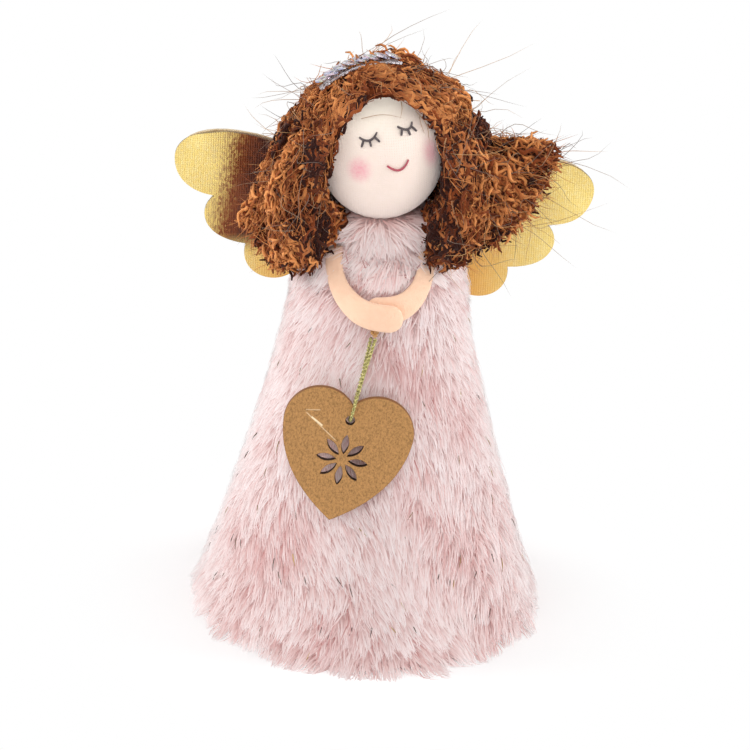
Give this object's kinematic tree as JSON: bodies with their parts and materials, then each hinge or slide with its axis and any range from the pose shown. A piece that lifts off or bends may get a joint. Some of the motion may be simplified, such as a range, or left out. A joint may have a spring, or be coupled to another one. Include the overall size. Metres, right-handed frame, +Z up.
{
  "type": "angel tree topper",
  "caption": "Standing angel doll on a hollow plush-covered cone, with cloth head, yarn hair, tiara, gold wings, felt arms and a wooden heart hung on a gold cord.",
  "frame": {"origin": "centre of the base on the floor", "axes": "+Z up, the doll faces -Y, +X is the doll's left"},
  "size_m": [0.0998, 0.0788, 0.1433],
  "materials": {
    "plush": "long pile",
    "card": "matt",
    "foam": "matt",
    "pale_wood": "matt",
    "face_cloth": "knit",
    "dark_thread": "matt",
    "red_thread": "matt",
    "yarn": "curly",
    "sequin": "iridescent",
    "lame": "metallic foil",
    "glue": "clear",
    "felt": "felted",
    "gold_cord": "twisted metallic",
    "heart_wood": "matt"
  },
  "bodies": {
    "angel": {"card_cone": "card", "fur_skirt": "plush", "fur_collar": "plush", "shoulder_plug": "foam", "neck_peg": "pale_wood", "head_core": "foam", "face_cover": "face_cloth", "eye_stitch_left": "dark_thread", "eye_stitch_right": "dark_thread", "mouth_stitch": "red_thread", "hair_crown": "yarn", "hair_left": "yarn", "hair_right": "yarn", "tiara_ribbon": "sequin", "tiara_sequin_01": "sequin", "tiara_sequin_02": "sequin", "tiara_sequin_03": "sequin", "tiara_sequin_04": "sequin", "tiara_sequin_05": "sequin", "tiara_sequin_06": "sequin", "tiara_sequin_07": "sequin", "tiara_sequin_08": "sequin", "wing_cloth": "lame", "wing_stiffener": "card", "wing_glue": "glue", "arm_left": "felt", "arm_right": "felt"},
    "knot": {"cord_knot": "gold_cord"},
    "cord": {"pendant_cord": "gold_cord"},
    "heart": {"wooden_heart": "heart_wood"}
  },
  "joints": [
    {"name": "knot_lift", "type": "hinge", "parent": "angel", "child": "knot", "pos_m": [-0.0005, -0.02177, 0.0821], "axis": [-1, 0, 0], "range_deg": [0, 70]},
    {"name": "cord_swing", "type": "hinge", "parent": "knot", "child": "cord", "pos_m": [-0.0005, -0.02177, 0.0821], "axis": [0, -0.9789, 0.2045], "range_deg": [-25, 25]},
    {"name": "heart_tilt", "type": "hinge", "parent": "cord", "child": "heart", "pos_m": [-0.00529, -0.02612, 0.06128], "axis": [0, -0.9789, 0.2045], "range_deg": [-30, 30]}
  ]
}
